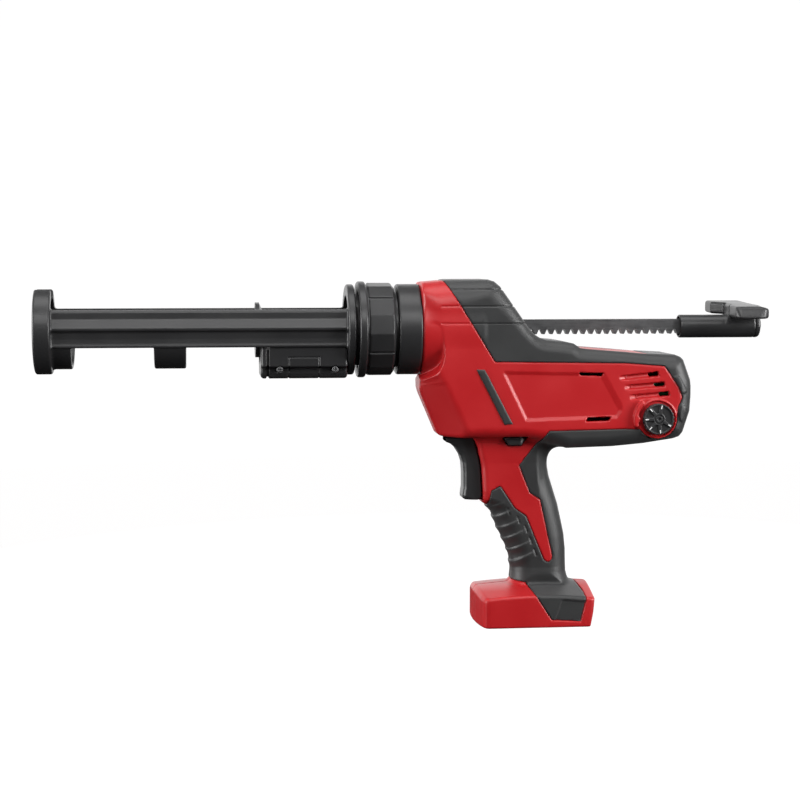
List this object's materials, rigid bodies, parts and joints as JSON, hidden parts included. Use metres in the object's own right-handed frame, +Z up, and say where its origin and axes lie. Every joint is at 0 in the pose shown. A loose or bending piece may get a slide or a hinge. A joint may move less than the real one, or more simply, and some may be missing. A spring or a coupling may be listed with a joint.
{
  "type": "cordless caulking tool",
  "caption": "Pistol-grip powered caulking tool with an open cartridge carriage, toothed push rod, trigger, speed dial and battery foot.",
  "frame": {"origin": "middle of the battery foot's resting edge, under the grip, in the tool's centre plane", "axes": "+X to the rear along the push rod, +Y to the tool's right, +Z up"},
  "size_m": [0.5615, 0.0787, 0.2667],
  "materials": {
    "red_plastic": "satin",
    "soft_grip": "fine grain",
    "black_plastic": "satin",
    "rack_steel": "blackened",
    "bright_steel": "machined",
    "frame_alloy": "cast",
    "guide_plastic": "moulded",
    "contact_metal": "plain",
    "magnet": "sintered",
    "board": "lacquered",
    "lead_jacket": "smooth"
  },
  "bodies": {
    "housing": {"housing_left": "red_plastic", "housing_right": "red_plastic", "overmould_left": "soft_grip", "overmould_right": "soft_grip", "side_pad_left": "soft_grip", "side_pad_right": "soft_grip", "housing_screws": "bright_steel", "nose_ring": "black_plastic", "nose_screws": "bright_steel", "carriage": "black_plastic", "puncture_housing": "black_plastic", "puncture_screws": "rack_steel", "rod_guide_front": "guide_plastic", "rod_guide_rear": "guide_plastic", "gear_frame": "frame_alloy", "pinion_bearings": "bright_steel", "cross_bearings": "bright_steel", "carrier_bearing": "bright_steel", "ring_gear": "bright_steel", "motor_can": "bright_steel", "motor_magnets": "magnet", "motor_end_cap": "guide_plastic", "motor_brushes": "magnet", "trigger_switch": "guide_plastic", "dial_potentiometer": "guide_plastic", "control_board": "board", "terminal_block": "guide_plastic", "terminal_blades": "contact_metal", "battery_leads": "lead_jacket"},
    "collar": {"locking_collar": "black_plastic"},
    "rod": {"rack": "rack_steel", "plunger_disc": "black_plastic", "plunger_screw": "bright_steel", "rod_handle": "black_plastic", "handle_pin": "bright_steel"},
    "rack_pinion": {"pinion_shaft": "bright_steel", "spur_gear": "bright_steel"},
    "cross": {"cross_shaft": "bright_steel", "bevel_gear": "bright_steel"},
    "planet_stage": {"planet_carrier": "bright_steel"},
    "planet_1": {"planet_gear_1": "bright_steel"},
    "planet_2": {"planet_gear_2": "bright_steel"},
    "planet_3": {"planet_gear_3": "bright_steel"},
    "rotor": {"rotor_shaft": "bright_steel", "rotor_core": "bright_steel", "commutator": "contact_metal", "cooling_fan": "guide_plastic"},
    "trigger": {"trigger": "black_plastic"},
    "lock_button": {"lock_button": "black_plastic"},
    "speed_dial": {"speed_dial": "black_plastic"},
    "puncture_pin": {"puncture_pin": "bright_steel"}
  },
  "joints": [
    {"name": "rod_slide", "type": "slide", "parent": "housing", "child": "rod", "axis": [1, 0, 0], "range_m": [-0.098, 0.095]},
    {"name": "pinion_turn", "type": "hinge", "parent": "housing", "child": "rack_pinion", "pos_m": [-0.05, 0, 0.2134], "axis": [0, 1, 0], "continuous": true},
    {"name": "cross_turn", "type": "hinge", "parent": "housing", "child": "cross", "pos_m": [-0.05, 0, 0.1774], "axis": [0, 1, 0], "continuous": true},
    {"name": "carrier_turn", "type": "hinge", "parent": "housing", "child": "planet_stage", "pos_m": [0, 0, 0.1774], "axis": [1, 0, 0], "continuous": true},
    {"name": "rotor_turn", "type": "hinge", "parent": "housing", "child": "rotor", "pos_m": [0.03, 0, 0.1774], "axis": [1, 0, 0], "continuous": true},
    {"name": "planet_1_turn", "type": "hinge", "parent": "planet_stage", "child": "planet_1", "pos_m": [-0.008, 0.0108, 0.1774], "axis": [1, 0, 0], "continuous": true},
    {"name": "planet_2_turn", "type": "hinge", "parent": "planet_stage", "child": "planet_2", "pos_m": [-0.008, -0.0054, 0.18675], "axis": [1, 0, 0], "continuous": true},
    {"name": "planet_3_turn", "type": "hinge", "parent": "planet_stage", "child": "planet_3", "pos_m": [-0.008, -0.0054, 0.16805], "axis": [1, 0, 0], "continuous": true},
    {"name": "trigger_pull", "type": "slide", "parent": "housing", "child": "trigger", "axis": [1, 0, 0], "range_m": [0, 0.006], "stiffness_N_per_m": 1200, "springref_m": -0.002},
    {"name": "lock_slide", "type": "slide", "parent": "housing", "child": "lock_button", "axis": [0, 1, 0], "range_m": [0, 0.005]},
    {"name": "dial_turn", "type": "hinge", "parent": "housing", "child": "speed_dial", "pos_m": [0.0929, -0.037, 0.1596], "axis": [0, -1, 0], "range_deg": [-154, 154]},
    {"name": "collar_turn", "type": "hinge", "parent": "housing", "child": "collar", "pos_m": [-0.122, 0, 0.228], "axis": [1, 0, 0], "range_deg": [0, 60]},
    {"name": "puncture_fold", "type": "hinge", "parent": "housing", "child": "puncture_pin", "pos_m": [-0.15, 0, 0.1965], "axis": [0, -1, 0], "range_deg": [0, 100]}
  ],
  "couplings": [
    {"joint": "pinion_turn", "follows": "rod_slide", "rad_per_m": 83.333},
    {"joint": "cross_turn", "follows": "rod_slide", "rad_per_m": -166.67},
    {"joint": "carrier_turn", "follows": "rod_slide", "rad_per_m": -333.33},
    {"joint": "rotor_turn", "follows": "rod_slide", "rad_per_m": -1500},
    {"joint": "planet_1_turn", "follows": "rod_slide", "rad_per_m": 933.33},
    {"joint": "planet_2_turn", "follows": "rod_slide", "rad_per_m": 933.33},
    {"joint": "planet_3_turn", "follows": "rod_slide", "rad_per_m": 933.33}
  ]
}
